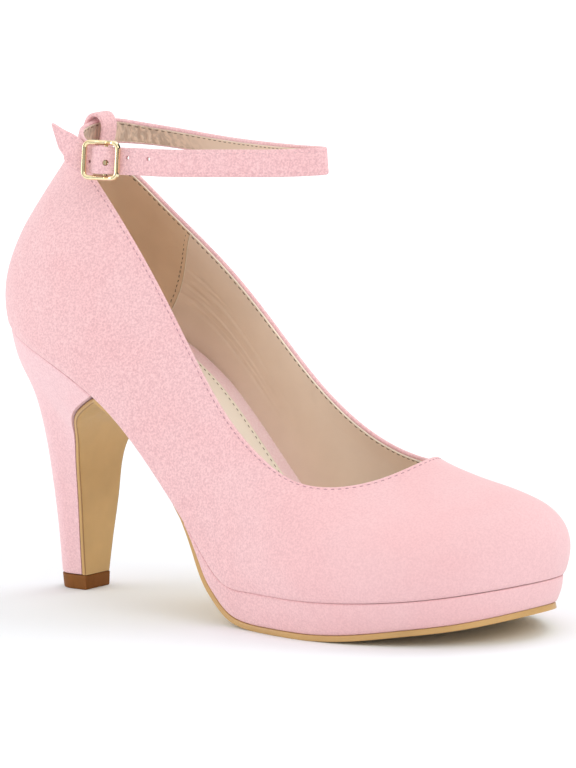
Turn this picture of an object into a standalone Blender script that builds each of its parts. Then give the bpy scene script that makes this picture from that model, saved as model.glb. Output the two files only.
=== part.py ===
"""Ankle strap pump, one right shoe, at rest on its own sole. Millimetres.

+X points to the toe, +Z up, and the outer side of the foot, with the buckle, is -Y.
The origin is the middle of the top lift's underside. Tables hold shares of the named
sizes, a row per section, and splines run through their rows.
"""

import bpy
import numpy as np

LENGTH = 220.0  # feather line, from the back of the seat to the toe
BALL = 84.0  # feather line, across the ball
BACK = 150.0  # top of the counter above the floor
SEAT = 95.0  # feather line at the back above the floor
OVERHANG = 19.0  # back of the seat behind the middle of the top lift
WALL = 2.0  # suede, stiffener and lining
SOLE = 2.0  # outsole sheet
FLAP = 1.5  # outsole sheet where it covers the breast
LIFT = 5.0  # top lift
BAND = 9.2  # ankle strap, across
BELT = 1.6  # ankle strap, through
GAP = 0.3
SOLE_INSET = 2.9  # tread of the forefoot, in from the feather line
COVER_INSET = 0.4  # top edge of the platform and heel, in from the feather line

# Feather line, where the upper meets the sole, round from the back by the outer side.
FEATHER = [  # along / LENGTH, across / BALL
    (0.000, 0.000), (0.036, -0.235), (0.145, -0.380), (0.319, -0.392),
    (0.491, -0.408), (0.664, -0.486), (0.830, -0.431), (0.951, -0.236),
    (1.000, 0.070), (0.947, 0.324), (0.845, 0.474), (0.713, 0.512),
    (0.524, 0.410), (0.318, 0.384), (0.141, 0.387), (0.033, 0.243),
]
TOPLINE = [  # along / LENGTH, across / BALL, up / BACK
    (0.100, 0.002, 1.000), (0.150, -0.108, 0.995), (0.243, -0.188, 0.900),
    (0.361, -0.252, 0.717), (0.481, -0.310, 0.500), (0.582, -0.354, 0.386),
    (0.664, -0.321, 0.331), (0.747, -0.181, 0.340), (0.781, 0.031, 0.373),
    (0.746, 0.215, 0.358), (0.683, 0.339, 0.340), (0.582, 0.376, 0.372),
    (0.473, 0.331, 0.497), (0.351, 0.268, 0.707), (0.226, 0.206, 0.876),
    (0.146, 0.118, 0.986),
]
# How each rib of the last leaves the feather line and reaches the topline.
RIBS = [  # swell / BALL, rise / BACK, lead, swell at top / BALL, drop / BACK
    (0.083, 0.148, 0.20, 0.070, 0.105), (0.067, 0.138, 0.18, 0.080, 0.107),
    (0.051, 0.125, 0.16, 0.046, 0.106), (0.044, 0.105, 0.13, 0.035, 0.100),
    (0.045, 0.091, 0.13, 0.036, 0.086), (0.050, 0.090, 0.15, 0.046, 0.074),
    (0.074, 0.110, 0.29, 0.024, 0.057), (0.119, 0.154, 0.41, 0.004, 0.069),
    (0.140, 0.218, 0.50, 0.007, 0.081),
]
FEATHER_UP = [  # along / LENGTH, up / SEAT
    (0.00, 1.002), (0.10, 0.934), (0.20, 0.842), (0.30, 0.693), (0.40, 0.447),
    (0.45, 0.309), (0.50, 0.180), (0.57, 0.143), (0.70, 0.143), (0.80, 0.152),
    (0.90, 0.172), (1.00, 0.206),
]
TREAD_UP = [  # along / LENGTH, up / SEAT: the underside of the forefoot
    (0.416, 0.356), (0.433, 0.272), (0.452, 0.166), (0.475, 0.092),
    (0.500, 0.041), (0.545, 0.005), (0.580, 0.000), (0.690, 0.000),
    (0.763, 0.010), (0.854, 0.037), (0.935, 0.063), (1.000, 0.098),
]
HEEL = [  # share of the height, back, front, half width, mm from the lift's middle
    (0.00, -6.9, 5.3, 6.4), (0.20, -7.2, 6.6, 8.2), (0.42, -8.7, 8.2, 10.2),
    (0.62, -11.6, 9.7, 12.2), (0.76, -14.6, 13.4, 16.4), (0.88, -17.4, 21.0, 24.0),
    (1.00, -18.6, 37.0, 31.6),
]


def natural_spline(rows, at):
    """Values of the natural cubic spline through rows (key, value, ...) at the keys."""
    rows = np.asarray(rows, float)
    key, val = rows[:, 0], rows[:, 1:]
    n, h = len(key), np.diff(key)
    m, rhs = np.eye(n), np.zeros_like(val)
    for i in range(1, n - 1):
        m[i, i - 1 : i + 2] = h[i - 1], 2 * (h[i - 1] + h[i]), h[i]
        rhs[i] = 6 * ((val[i + 1] - val[i]) / h[i] - (val[i] - val[i - 1]) / h[i - 1])
    bend = np.linalg.solve(m, rhs)
    at = np.atleast_1d(np.asarray(at, float))
    i = np.clip(np.searchsorted(key, at, side="right") - 1, 0, n - 2)
    w, a, b = h[i][:, None], (key[i + 1] - at)[:, None], (at - key[i])[:, None]
    cubic = (bend[i] * a**3 + bend[i + 1] * b**3) / (6 * w)
    return cubic + (val[i] / w - bend[i] * w / 6) * a + (val[i + 1] / w - bend[i + 1] * w / 6) * b


def round_spline(rows, at):
    """The closed cubic spline through evenly spaced rows, at shares of one turn."""
    rows = np.asarray(rows, float)
    n = len(rows)
    m = 4 * np.eye(n) + np.roll(np.eye(n), 1, 0) + np.roll(np.eye(n), -1, 0)
    d = np.linalg.solve(m, 3 * (np.roll(rows, -1, 0) - np.roll(rows, 1, 0)))
    s = (np.asarray(at, float) % 1.0) * n
    i = np.floor(s).astype(int) % n
    f, j = (s - np.floor(s))[:, None], (i + 1) % n
    start = rows[i] * (1 + 2 * f) * (1 - f) ** 2 + d[i] * f * (1 - f) ** 2
    return start + rows[j] * f * f * (3 - 2 * f) + d[j] * f * f * (f - 1)


def unit(v):
    return v / np.linalg.norm(v, axis=-1, keepdims=True)


def feather_up(x):
    return natural_spline(FEATHER_UP, (np.asarray(x) + OVERHANG) / LENGTH)[:, 0] * SEAT


def feather(u):
    xy = round_spline(FEATHER, u) * (LENGTH, BALL)
    xy[:, 0] -= OVERHANG
    return xy


def outward(u):
    t = feather(u + 1e-4) - feather(u - 1e-4)
    return unit(np.column_stack([t[:, 1], -t[:, 0]]))


OUTLINE_AT = np.arange(720) / 720
OUTLINE, OUTLINE_OUT = feather(OUTLINE_AT), outward(OUTLINE_AT)


def sides(inset, share, start=None):
    """(x, y outer, y inner) of the feather outline drawn in by inset, at shares of the way to the toe."""
    ring = OUTLINE - OUTLINE_OUT * inset
    back, toe = ring[:, 0].argmin(), ring[:, 0].argmax()
    ring, toe = np.roll(ring, -back, 0), (toe - back) % 720
    near, far = ring[: toe + 1], np.vstack([ring[toe:], ring[:1]])[::-1]
    first = ring[0, 0] if start is None else start
    x = first + (ring[toe, 0] - first) * np.asarray(share)
    return x, np.interp(x, near[:, 0], near[:, 1]), np.interp(x, far[:, 0], far[:, 1])


def stations(start, count, round_back=False):
    """Shares of the way from start to the toe, close together at the round ends and at the shank."""
    way = LENGTH - OVERHANG - start
    if round_back:
        share = (1 - np.cos(np.linspace(0.02, np.pi - 0.02, count))) / 2
    else:
        share = np.sin(np.linspace(0, np.pi / 2 - 0.004, count))
    x = start + way * share
    bend = np.linspace(max(start, 54), 104, 18)
    return (np.sort(np.concatenate([x[(x < bend[0] - 2) | (x > 106)], bend])) - start) / way


def solid(name, points, faces):
    mesh = bpy.data.meshes.new(name)
    mesh.from_pydata([tuple(map(float, p)) for p in points], [], faces)
    mesh.update()
    obj = bpy.data.objects.new(name, mesh)
    bpy.context.scene.collection.objects.link(obj)
    p = np.asarray(points, float)
    mesh.calc_loop_triangles()
    tri = np.array([t.vertices for t in mesh.loop_triangles])
    if np.linalg.det(p[tri]).sum() < 0:
        mesh.flip_normals()
    return obj


def loft(name, sections, ring=False):
    """A closed body through sections of equal count. With ring, the last meets the first."""
    sections = np.asarray(sections, float)
    n, m = sections.shape[:2]
    faces = [
        (i * m + j, i * m + (j + 1) % m, (i + 1) % n * m + (j + 1) % m, (i + 1) % n * m + j)
        for i in range(n if ring else n - 1)
        for j in range(m)
    ]
    if not ring:
        faces += [tuple(range(m))[::-1], tuple((n - 1) * m + j for j in range(m))]
    return solid(name, sections.reshape(-1, 3), faces)


def ribs(u, v):
    """Outer face of the upper: v runs from the feather line to the topline."""
    foot = feather(u)
    foot = np.column_stack([foot, feather_up(foot[:, 0])])
    top = round_spline(TOPLINE, u) * (LENGTH, BALL, BACK) - (OVERHANG, 0, 0)
    out = np.column_stack([outward(u), np.zeros(len(u))])
    swell, rise, lead, over, drop = round_spline(RIBS + RIBS[-2:0:-1], u).T[:, :, None]
    up = np.array([0, 0, 1.0])
    low = foot + out * swell * BALL + up * rise * BACK
    high = top + (foot - top) * (1, 1, 0) * lead + out * over * BALL - up * drop * BACK
    v = np.asarray(v)[:, None, None]
    return foot * (1 - v) ** 3 + 3 * low * v * (1 - v) ** 2 + 3 * high * v * v * (1 - v) + top * v**3


def make_upper(columns=96, rows=15):
    u, v = np.arange(columns) / columns, np.linspace(0, 1, rows)
    outer, e = ribs(u, v), 1e-3
    du = ribs(u + e, v) - ribs(u - e, v)
    dv = ribs(u, np.clip(v + e, 0, 1)) - ribs(u, np.clip(v - e, 0, 1))
    inner = outer - unit(np.cross(du, dv)) * WALL
    inner[0, :, :2] = outer[0, :, :2] - outward(u) * WALL
    inner[0, :, 2] = feather_up(inner[0, :, 0])
    return loft("upper", np.swapaxes(np.vstack([outer, inner[::-1]]), 0, 1), ring=True)


def offset(path, by):
    """Points of an x-z path moved by this much to its left."""
    t = unit(np.gradient(path, axis=0))
    return path + np.column_stack([-t[:, 1], t[:, 0]]) * by


def breast(share):
    """x-z path of the heel's front, from the lift up to the feather line."""
    row = natural_spline(HEEL, share)
    top = feather_up(HEEL[-1][2])[0] - GAP
    base = LIFT + GAP
    return np.column_stack([row[:, 1], base + np.asarray(share) * (top - base)])


def tread(x):
    z = natural_spline(TREAD_UP, (np.asarray(x) + OVERHANG) / LENGTH)[:, 0] * SEAT
    return np.maximum(z, 0)


def forefoot_path(inset=SOLE_INSET, count=34):
    """x-z path of the outsole's underside under the platform, and its sides."""
    start = TREAD_UP[0][0] * LENGTH - OVERHANG
    x, outer, inner = sides(inset, stations(start, count), start)
    return np.column_stack([x, tread(x)]), outer, inner


def outsole_paths():
    """Underside and inner face of the outsole, x-z, from the breast to the toe, and its sides."""
    share = np.array([0, 0.1, 0.25, 0.4, 0.53, 0.64, 0.73, 0.8, 0.86, 0.91, 0.95, 0.98])
    path = breast(share)
    back = offset(path, -GAP), offset(path, -GAP - FLAP)
    half = natural_spline(HEEL, share)[:, 2] * 0.965
    shank = np.linspace(HEEL[-1][2] + 1.2, TREAD_UP[0][0] * LENGTH - OVERHANG - 2.5, 9)
    top = np.column_stack([shank, feather_up(shank) - GAP])
    _, near, far = sides(0.0, (shank + OVERHANG) / LENGTH)
    inset = np.interp(shank, [shank[0], 55, shank[-1]], [1.6, 5.0, 3.0])
    low, outer, inner = forefoot_path()
    upper = np.vstack([back[0], top, offset(low, SOLE)])
    lower = np.vstack([back[1], offset(top, -SOLE), low])
    outer_edge = np.concatenate([-half, near + inset, outer])
    inner_edge = np.concatenate([half, far - inset, inner])
    return lower, upper, outer_edge, inner_edge


def make_outsole():
    lower, upper, outer, inner = outsole_paths()
    ring = [
        [(a[0], p, a[1]), (b[0], p, b[1]), (b[0], q, b[1]), (a[0], q, a[1])]
        for a, b, p, q in zip(lower, upper, outer, inner)
    ]
    return loft("outsole", ring)


def make_platform(count=30):
    low, _, _ = forefoot_path()
    floor = offset(low, SOLE + GAP)
    start = TREAD_UP[0][0] * LENGTH - OVERHANG + 4.0
    share = stations(start, count)
    levels = []
    for inset, mix in ((SOLE_INSET, 0.0), (1.1, 0.5), (COVER_INSET, 1.0)):
        x, outer, inner = sides(inset, share, start)
        bottom = np.interp(x, floor[:, 0], floor[:, 1])
        z = bottom + (feather_up(x) - GAP - bottom) * mix
        levels.append((x, outer, inner, z))
    near = [np.column_stack([x, o, z]) for x, o, _, z in levels]
    far = [np.column_stack([x, i, z]) for x, _, i, z in levels[::-1]]
    return loft("platform", np.swapaxes(near + far, 0, 1))


def make_heel(name, shares, lift=False, half=13):
    tau = np.sin(np.linspace(0, np.pi / 2, half))
    _, _, front, width = HEEL[-1]
    back = (OUTLINE - OUTLINE_OUT * COVER_INSET)[:, 0].min()
    top_x = front + (back - front) * tau
    _, near, far = sides(COVER_INSET, (top_x - back) / (LENGTH - 2 * COVER_INSET))
    flat, bend = tau / 0.42, np.clip((tau - 0.42) / 0.58, 0, 1)
    shape = np.where(tau < 0.42, 0.97 + 0.03 * flat, np.sqrt(1 - bend**2))
    rings = []
    for share in shares:
        b, f, w = natural_spline(HEEL, [share])[0]
        k = np.clip((share - 0.6) / 0.4, 0, 1)
        k = k * k * (3 - 2 * k)
        x = f + (b - f) * tau
        ends = -w * ((1 - k) * shape - k * near / width), w * ((1 - k) * shape + k * far / width)
        up = LIFT + GAP + share * (feather_up(top_x) - GAP - LIFT - GAP)
        ring = [np.column_stack([x, e, up]) for e in ends]
        rings.append(np.vstack([ring[0], ring[1][-2::-1]]))
    if lift:
        low = rings[0] * (1, 1, 0)
        front = low[:, 0] > HEEL[0][2] - 0.01
        low[front, 0] += FLAP + GAP
        rings = [low * (0.97, 0.97, 1), low + (0, 0, LIFT)]
    rings = np.array(rings)
    n, m = rings.shape[:2]
    faces = []
    for i in range(n - 1):
        for j in range(m - 1):
            faces.append((i * m + j, i * m + j + 1, (i + 1) * m + j + 1, (i + 1) * m + j))
    faces += [(i * m + m - 1, i * m, (i + 1) * m, (i + 1) * m + m - 1) for i in range(n - 1)]
    for base, turn in ((0, -1), ((n - 1) * m, 1)):
        for j in range(half - 2):
            faces.append((base + j, base + j + 1, base + m - 2 - j, base + m - 1 - j)[::turn])
        faces.append((base + half - 2, base + half - 1, base + half)[::turn])
    return solid(name, rings.reshape(-1, 3), faces)


def make_insole(count=46):
    share = stations(-OVERHANG, count, round_back=True)
    near, far = [], []
    for inset, up in ((2.7, 0.0), (2.7, 2.2), (9.0, 2.2), (9.6, 3.2)):
        x, outer, inner = sides(inset, share)
        z = feather_up(x) + up
        near.append(np.column_stack([x, outer, z]))
        far.append(np.column_stack([x, inner, z]))
    return loft("insole", np.swapaxes(near + far[::-1], 0, 1))


# The buckle stands on the strap at BUCKLE. In its own axes s runs forward along the strap,
# n outward from the ankle and w across the strap.
BUCKLE = np.array([36.0, -21.0, 151.3])
AXIS_S = unit(np.array([0.97, 0.22, -0.01]))
AXIS_N = unit(np.cross(AXIS_S, unit(np.array([0, 0.16, 1.0]))))
AXIS_W = np.cross(AXIS_N, AXIS_S)
BAR_N, BAR_R = -1.8, 0.7
PRONG_W = -0.8
SLOT_ACROSS = PRONG_W - 0.85, PRONG_W + 0.85  # the prong's opening in the strap's fold
HOLES = ((-4.8, -0.6, 0.75), (2.05, PRONG_W, 0.95), (9.4, 1.2, 0.8), (17.7, 1.1, 0.8))  # s, w, radius
PUNCH_IN, PUNCH_OUT = 1.25, 2.5  # reach of a hole's punch inside and outside of the strap
TAIL = 46  # strap past the buckle's far side, back to its cut end
CUT_TOP, CUT_LOW, CUT_CORNER = 2.0, 4.2, 2.3  # slant of the cut end, and its rounded lower corner


def at_buckle(s, n, w=0.0):
    return BUCKLE + AXIS_S * s + AXIS_N * n + AXIS_W * w


def make_strap():
    fold = [(-3.6, -1.1), (-1.6, -0.45), (0.0, BAR_N + 1.45)]
    fold += [(1.45 * np.sin(a), BAR_N + 1.45 * np.cos(a)) for a in np.radians([35, 70, 105, 140])]
    fold += [(0.0, BAR_N - 1.45), (-1.8, -3.15), (-4.2, -2.95)]
    rows = [(*at_buckle(s, n), 9, 1.0) for s, n in fold]
    rows += [  # x, y, z, lean in degrees, thickness
        (27.0, -19.6, 152.6, 8, 1.5), (22.2, -17.0, 154.2, 10, BELT), (18.0, -12.6, 155.8, 14, BELT),
        (15.7, -7.2, 156.6, 15, BELT), (15.6, -1.6, 157.3, 15, BELT), (17.5, 4.4, 157.4, 19, BELT),
        (22.9, 10.0, 156.5, 29, BELT), (34.0, 14.8, 155.0, 35, BELT), (57.4, 16.6, 152.8, 35, BELT),
        (83.0, 11.9, 152.4, 32, BELT), (102.8, 6.8, 152.5, 20, BELT), (111.6, 4.0, 152.7, 8, BELT),
        (114.6, 1.2, 152.8, 0, BELT), (112.0, -1.6, 152.7, 2, BELT), (97.0, -6.2, 151.9, 8, BELT),
        (78.5, -11.4, 151.5, 10, BELT), (58.5, -16.4, 151.1, 10, BELT),
    ]
    run = [(15, 0), (10, -0.4), (6.5, -0.5), (4.8, -0.3), (2.4, 1.0), (0, 1.6), (-2.4, 1.0), (-4.8, -0.3)]
    run += [(-6.5, -0.5), (-8.2, -0.5)]
    rows += [(*at_buckle(s, n), 9, BELT) for s, n in run]
    rows += [(24.0, -23.0, 154.5, 14, BELT), (20.0, -22.9, 156.2, 6, BELT)]
    rows += [(15.6, -22.6, 158.0, -4, BELT)]
    rows = np.array(rows)
    key = np.concatenate([[0], np.cumsum(np.linalg.norm(np.diff(rows[:, :3], axis=0), axis=1))])
    fold_end, under = 22, key[-1] - TAIL
    step = [np.arange(0, fold_end, 0.8), np.arange(fold_end, under - 1, 2.6)]
    step = np.concatenate([*step, np.linspace(under, key[-1], 26)])
    path = natural_spline(np.column_stack([key, rows]), step)
    mid, lean, thick = path[:, :3], np.radians(path[:, 3]), path[:, 4]
    t = unit(np.gradient(mid, axis=0))
    level = unit(np.column_stack([-t[:, 1], t[:, 0], np.zeros(len(t))]))
    w = np.column_stack([[0.0] * len(t), [0.0] * len(t), np.cos(lean)]) - level * np.sin(lean)[:, None]
    free = np.clip((step - key[len(fold) - 1]) / 6.0, 0, 1)[:, None]
    w = AXIS_W * (1 - free) + w * free
    w = unit(w - t * (w * t).sum(1)[:, None])
    n = unit(np.cross(w, t))
    half_w, half_n = w * BAND / 2, n * thick[:, None] / 2
    corners = half_w + half_n, half_w - half_n, -half_w - half_n, -half_w + half_n
    ring = np.array([mid + corner for corner in corners])
    slant = np.interp(step[-1] - step, [0, 1.84, 3.68, 5.52, 7.36, 9.2], [1, 0.66, 0.38, 0.18, 0.06, 0])
    round_off = np.clip(1 - (step[-1] - step) / 12, 0, 1)
    round_off = round_off**2 * (3 - 2 * round_off)
    ring[:2] += t * (CUT_TOP * slant)[:, None]
    ring[2:] += w * (CUT_CORNER * round_off)[:, None] - t * (CUT_LOW * slant)[:, None]
    strap = loft("strap", np.swapaxes(ring, 0, 1))
    for i, (s, side, r) in enumerate(HOLES):
        here = mid[step >= under] if s < 12 else mid[len(mid) // 2 :]
        spot = here[np.linalg.norm(here - at_buckle(s, 0), axis=1).argmin()] - BUCKLE
        depth = spot.dot(AXIS_N)
        up = side + spot.dot(AXIS_W)
        start, end = at_buckle(s, depth - PUNCH_IN, up), at_buckle(s, depth + PUNCH_OUT, up)
        cut(strap, rod(f"hole{i}", start, end, r))
    corners = ((-1.7, -4.3), (2.1, -4.3), (2.1, 0.2), (-1.7, 0.25))
    slot = [[at_buckle(s, n, across) for s, n in corners] for across in SLOT_ACROSS]
    cut(strap, loft("slot", slot))
    return strap


def rod(name, start, end, radius, around=12):
    axis = unit(end - start)
    a = unit(np.cross(axis, (0.3, 0.2, 0.93)))
    b = np.cross(axis, a)
    turn = np.linspace(0, 2 * np.pi, around, endpoint=False)
    ring = [a * np.cos(k) * radius + b * np.sin(k) * radius for k in turn]
    return loft(name, [[start + r for r in ring], [end + r for r in ring]])


def cut(obj, cutter, operation="DIFFERENCE"):
    cutter.hide_render, cutter.display_type = True, "WIRE"
    modifier = obj.modifiers.new(cutter.name, "BOOLEAN")
    modifier.operation, modifier.object, modifier.solver = operation, cutter, "EXACT"


def sweep(name, path, w, thick, ring=False, width=None):
    """A flat band of this width and thickness: w is its direction across."""
    path = np.asarray(path, float)
    if ring:
        t = unit(np.roll(path, -1, 0) - np.roll(path, 1, 0))
    else:
        t = unit(np.gradient(path, axis=0))
    n = unit(np.cross(w, t))
    w, half = w * width / 2, n * thick / 2
    body = np.array([path + w + half, path + w - half, path - w - half, path - w + half])
    return loft(name, np.swapaxes(body, 0, 1), ring)


def make_back_loop():
    """One folded band: up inside the counter, over the strap, down and back under it."""
    rows = [  # x, z
        (5.0, 134.0), (7.8, 140.0), (10.8, 148.0), (12.3, 155.0), (13.2, 160.4), (15.4, 163.2),
        (18.7, 163.6), (20.7, 161.2), (20.4, 157.0), (19.0, 152.9), (16.9, 150.4), (13.5, 149.7),
    ]
    key = np.concatenate([[0], np.cumsum(np.linalg.norm(np.diff(rows, axis=0), axis=1))])
    path = natural_spline(np.column_stack([key, rows]), np.linspace(0, key[-1], 34))
    path = np.column_stack([path[:, 0], np.full(len(path), -0.8), path[:, 1]])
    return sweep("back_loop", path, np.array([0, 1.0, 0]), 1.4, width=7.2)


def make_buckle_frame():
    wide, half, corner, path = 0.5, 5.9, 2.0, []
    flat = half - corner
    for cs, cw, turn in ((1, 1, 0), (-1, 1, 90), (-1, -1, 180), (1, -1, 270)):
        for a in np.radians(turn + np.linspace(0, 90, 6)):
            path.append((cs * flat + corner * np.cos(a), cw * flat + corner * np.sin(a)))
        s0, w0 = path[-1]
        step = {0: (-1, 0), 90: (0, -1), 180: (1, 0), 270: (0, 1)}[turn]
        for k in (0.25, 0.5, 0.75):
            path.append((s0 + step[0] * k * 2 * flat, w0 + step[1] * k * 2 * flat))
    path = np.array([(s + np.sign(s) * wide, w) for s, w in path])
    arch = [np.clip((abs(s) - 0.3) / 4.7, 0, 1) for s, _ in path]
    rise = [-0.9 + 2.5 * a * a * (3 - 2 * a) for a in arch]
    path = np.array([at_buckle(s, n, w) for (s, w), n in zip(path, rise)])
    t = unit(np.roll(path, -1, 0) - np.roll(path, 1, 0))
    out = unit(path - BUCKLE)
    out = unit(out - t * (out * t).sum(1)[:, None])
    up = np.cross(t, out)
    around = np.linspace(0, 2 * np.pi, 8, endpoint=False)
    ring = [path + out * 0.8 * np.cos(a) + up * 0.8 * np.sin(a) for a in around]
    frame = loft("buckle_frame", np.swapaxes(ring, 0, 1), ring=True)
    cut(frame, rod("bar", at_buckle(0, BAR_N, -half), at_buckle(0, BAR_N, half), BAR_R, 10), "UNION")
    return frame


def make_prong():
    eye = [(1.3 * np.cos(a), BAR_N + 1.3 * np.sin(a)) for a in np.radians(np.arange(140, 376, 18))]
    stem = [(1.6, -1.0), (1.85, 0.0), (2.0, 1.0), (2.1, 2.6)]
    path = np.array([at_buckle(s, n, PRONG_W) for s, n in eye + stem])
    return sweep("buckle_prong", path, AXIS_W, 0.6, width=1.0)


def finish(obj, slot, colour, rough, metal=0.0):
    """Shades obj smooth and gives it its own Principled material."""
    mat = bpy.data.materials.new(slot)
    mat.use_nodes = True
    shader = mat.node_tree.nodes["Principled BSDF"]
    shader.inputs["Base Color"].default_value = (*colour, 1.0)
    shader.inputs["Roughness"].default_value = rough
    shader.inputs["Metallic"].default_value = metal
    obj.data.materials.append(mat)
    obj.data.shade_smooth()
    obj.data.set_sharp_from_angle(angle=np.radians(38))


for old in list(bpy.data.objects):
    bpy.data.objects.remove(old)
bpy.context.scene.unit_settings.scale_length = 0.001
PINK, LINING, TAN = (0.87, 0.57, 0.60), (0.55, 0.38, 0.26), (0.50, 0.32, 0.15)
finish(make_upper(), "upper_suede", PINK, 0.9)
finish(make_platform(), "platform_suede", PINK, 0.9)
finish(make_outsole(), "outsole_leather", TAN, 0.5)
shares = (0, 0.12, 0.25, 0.38, 0.5, 0.6, 0.7, 0.78, 0.85, 0.91, 0.96, 1.0)
finish(make_heel("heel", shares), "heel_suede", PINK, 0.9)
finish(make_heel("top_lift", (0,), lift=True), "lift_rubber", (0.26, 0.11, 0.03), 0.6)
finish(make_insole(), "insole_leather", LINING, 0.6)
finish(make_strap(), "strap_suede", PINK, 0.9)
finish(make_back_loop(), "loop_suede", PINK, 0.9)
finish(make_buckle_frame(), "frame_gilt", (0.85, 0.62, 0.28), 0.2, 1.0)
finish(make_prong(), "prong_gilt", (0.85, 0.62, 0.28), 0.2, 1.0)
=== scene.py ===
"""Looks of the ankle strap pump, built round its solids.

Lengths are millimetres until mesh_of() turns them into metres. +X points to the toe, +Z up,
and the outer side with the buckle is -Y. The tables hold shares of the named sizes, a row
per section, and repeat the design of the solids.
"""

import bpy
import numpy as np
from mathutils import Matrix, Vector


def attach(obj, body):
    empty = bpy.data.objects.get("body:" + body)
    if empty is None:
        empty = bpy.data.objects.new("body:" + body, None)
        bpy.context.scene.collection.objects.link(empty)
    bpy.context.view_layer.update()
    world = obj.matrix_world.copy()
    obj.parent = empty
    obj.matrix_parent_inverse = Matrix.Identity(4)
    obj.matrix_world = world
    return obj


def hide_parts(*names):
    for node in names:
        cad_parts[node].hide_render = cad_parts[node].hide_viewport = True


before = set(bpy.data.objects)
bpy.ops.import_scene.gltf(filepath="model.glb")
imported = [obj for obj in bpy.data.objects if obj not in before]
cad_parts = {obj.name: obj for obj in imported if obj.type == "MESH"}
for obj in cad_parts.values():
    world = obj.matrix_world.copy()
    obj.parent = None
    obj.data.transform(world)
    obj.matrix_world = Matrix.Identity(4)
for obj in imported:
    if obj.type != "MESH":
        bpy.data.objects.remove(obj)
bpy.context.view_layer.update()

MM = 0.001
LENGTH = 220.0  # feather line, from the back of the seat to the toe
BALL = 84.0  # feather line, across the ball
BACK = 150.0  # top of the counter above the floor
SEAT = 95.0  # feather line at the back above the floor
OVERHANG = 19.0  # back of the seat behind the middle of the top lift
WALL = 2.0  # upper, through
SUEDE = 1.45  # the suede layer of that wall
SOLE = 2.0  # outsole sheet
FLAP = 1.5  # outsole sheet where it covers the breast
LIFT = 5.0  # top lift
BAND = 9.2  # ankle strap, across
BELT = 1.6  # ankle strap, through
GAP = 0.3  # between solids
SEAM = 0.1  # what stays open of that gap where suede meets suede
SOLE_INSET = 2.9  # tread of the forefoot, in from the feather line
COVER_INSET = 0.4  # top edge of the platform and heel, in from the feather line
STITCH_PITCH = 2.4
STITCH_SHARE = 0.6  # of its pitch that a stitch covers
EDGE_SEAM = 1.3  # stitch lines lie this far in from an edge
SUNK = 0.1  # stitches lie this deep in suede
SHARP = np.radians(50)  # faces that meet at more than this keep a sharp edge

FEATHER = [  # along / LENGTH, across / BALL
    (0.000, 0.000), (0.036, -0.235), (0.145, -0.380), (0.319, -0.392),
    (0.491, -0.408), (0.664, -0.486), (0.830, -0.431), (0.951, -0.236),
    (1.000, 0.070), (0.947, 0.324), (0.845, 0.474), (0.713, 0.512),
    (0.524, 0.410), (0.318, 0.384), (0.141, 0.387), (0.033, 0.243),
]
TOPLINE = [  # along / LENGTH, across / BALL, up / BACK
    (0.100, 0.002, 1.000), (0.150, -0.108, 0.995), (0.243, -0.188, 0.900),
    (0.361, -0.252, 0.717), (0.481, -0.310, 0.500), (0.582, -0.354, 0.386),
    (0.664, -0.321, 0.331), (0.747, -0.181, 0.340), (0.781, 0.031, 0.373),
    (0.746, 0.215, 0.358), (0.683, 0.339, 0.340), (0.582, 0.376, 0.372),
    (0.473, 0.331, 0.497), (0.351, 0.268, 0.707), (0.226, 0.206, 0.876),
    (0.146, 0.118, 0.986),
]
RIBS = [  # swell / BALL, rise / BACK, lead, swell at top / BALL, drop / BACK
    (0.083, 0.148, 0.20, 0.070, 0.105), (0.067, 0.138, 0.18, 0.080, 0.107),
    (0.051, 0.125, 0.16, 0.046, 0.106), (0.044, 0.105, 0.13, 0.035, 0.100),
    (0.045, 0.091, 0.13, 0.036, 0.086), (0.050, 0.090, 0.15, 0.046, 0.074),
    (0.074, 0.110, 0.29, 0.024, 0.057), (0.119, 0.154, 0.41, 0.004, 0.069),
    (0.140, 0.218, 0.50, 0.007, 0.081),
]
FEATHER_UP = [  # along / LENGTH, up / SEAT
    (0.00, 1.002), (0.10, 0.934), (0.20, 0.842), (0.30, 0.693), (0.40, 0.447),
    (0.45, 0.309), (0.50, 0.180), (0.57, 0.143), (0.70, 0.143), (0.80, 0.152),
    (0.90, 0.172), (1.00, 0.206),
]
TREAD_UP = [  # along / LENGTH, up / SEAT: the underside of the forefoot
    (0.416, 0.356), (0.433, 0.272), (0.452, 0.166), (0.475, 0.092),
    (0.500, 0.041), (0.545, 0.005), (0.580, 0.000), (0.690, 0.000),
    (0.763, 0.010), (0.854, 0.037), (0.935, 0.063), (1.000, 0.098),
]
HEEL = [  # share of the height, back, front, half width, mm from the lift's middle
    (0.00, -6.9, 5.3, 6.4), (0.20, -7.2, 6.6, 8.2), (0.42, -8.7, 8.2, 10.2),
    (0.62, -11.6, 9.7, 12.2), (0.76, -14.6, 13.4, 16.4), (0.88, -17.4, 21.0, 24.0),
    (1.00, -18.6, 37.0, 31.6),
]


# Curves


def natural_spline(rows, at):
    """Values of the natural cubic spline through rows (key, value, ...) at the keys."""
    rows = np.asarray(rows, float)
    key, val = rows[:, 0], rows[:, 1:]
    n, h = len(key), np.diff(key)
    m, rhs = np.eye(n), np.zeros_like(val)
    for i in range(1, n - 1):
        m[i, i - 1 : i + 2] = h[i - 1], 2 * (h[i - 1] + h[i]), h[i]
        rhs[i] = 6 * ((val[i + 1] - val[i]) / h[i] - (val[i] - val[i - 1]) / h[i - 1])
    bend = np.linalg.solve(m, rhs)
    at = np.atleast_1d(np.asarray(at, float))
    i = np.clip(np.searchsorted(key, at, side="right") - 1, 0, n - 2)
    w, a, b = h[i][:, None], (key[i + 1] - at)[:, None], (at - key[i])[:, None]
    cubic = (bend[i] * a**3 + bend[i + 1] * b**3) / (6 * w)
    return cubic + (val[i] / w - bend[i] * w / 6) * a + (val[i + 1] / w - bend[i + 1] * w / 6) * b


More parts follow.
